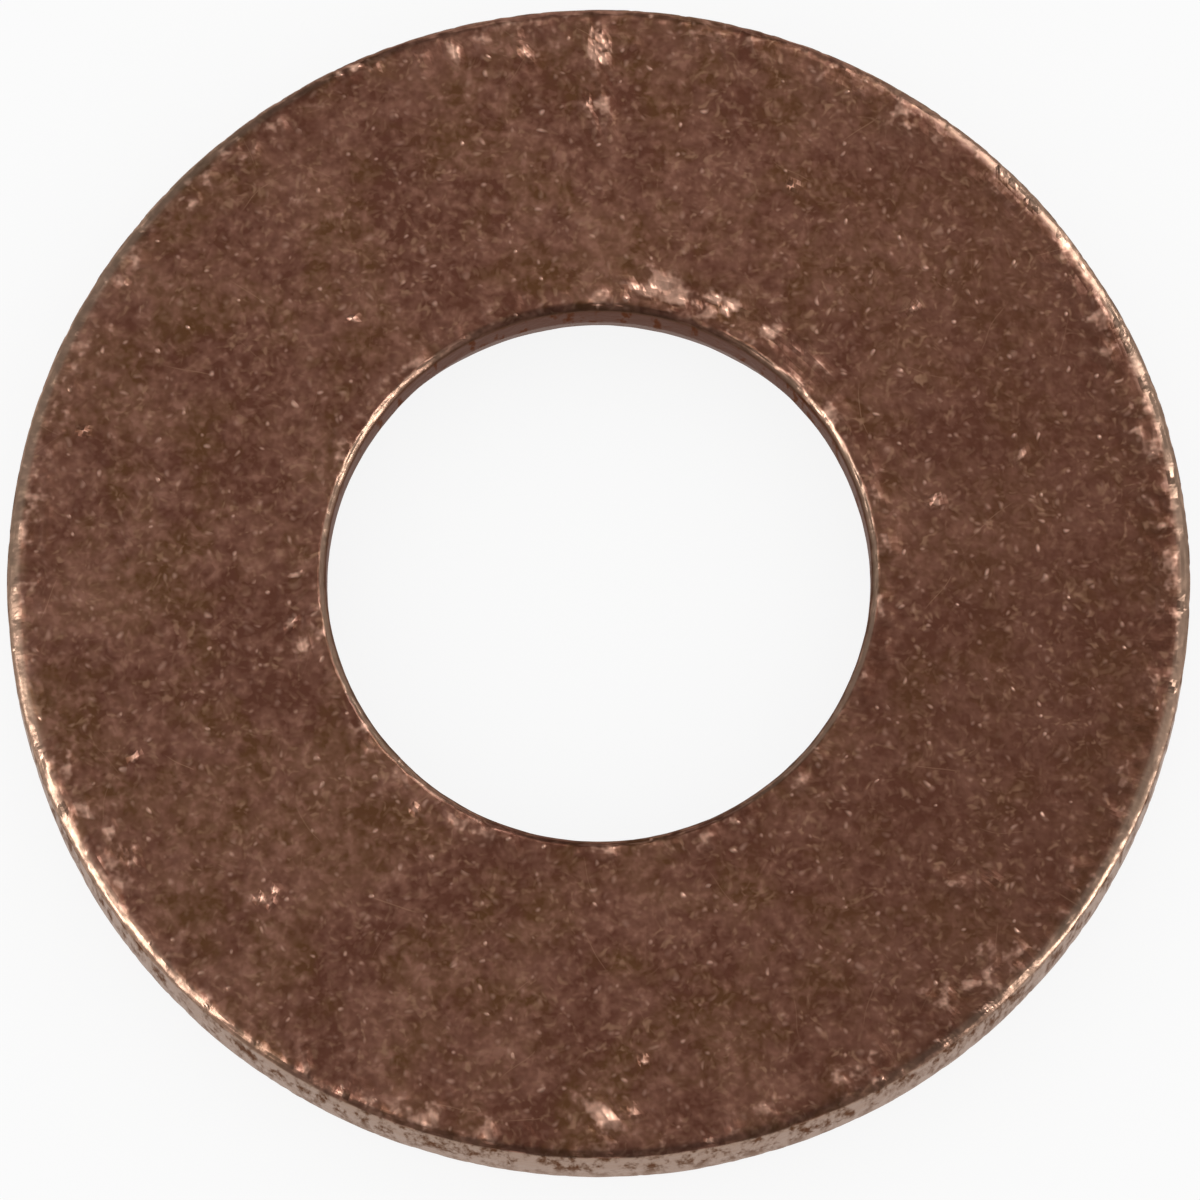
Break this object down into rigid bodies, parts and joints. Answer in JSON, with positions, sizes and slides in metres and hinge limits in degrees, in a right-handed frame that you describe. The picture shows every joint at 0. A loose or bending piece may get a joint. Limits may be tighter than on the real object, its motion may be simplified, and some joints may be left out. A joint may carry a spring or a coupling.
{
  "type": "flat washer",
  "caption": "Flat round bronze washer with a plain central bore, softly rolled edges and two flat bearing faces.",
  "frame": {"origin": "centre of the bottom bearing face, on the bore's axis", "axes": "+Z along the bore's axis, from the bottom bearing face to the top one; the washer is round, so X and Y are free"},
  "size_m": [0.0158, 0.0158, 0.0016],
  "materials": {
    "tumbled_bronze": "dark brown toned bronze, tumbled, with fine bright grain and dents"
  },
  "bodies": {
    "root": {"washer_ring": "tumbled_bronze"}
  },
  "joints": []
}
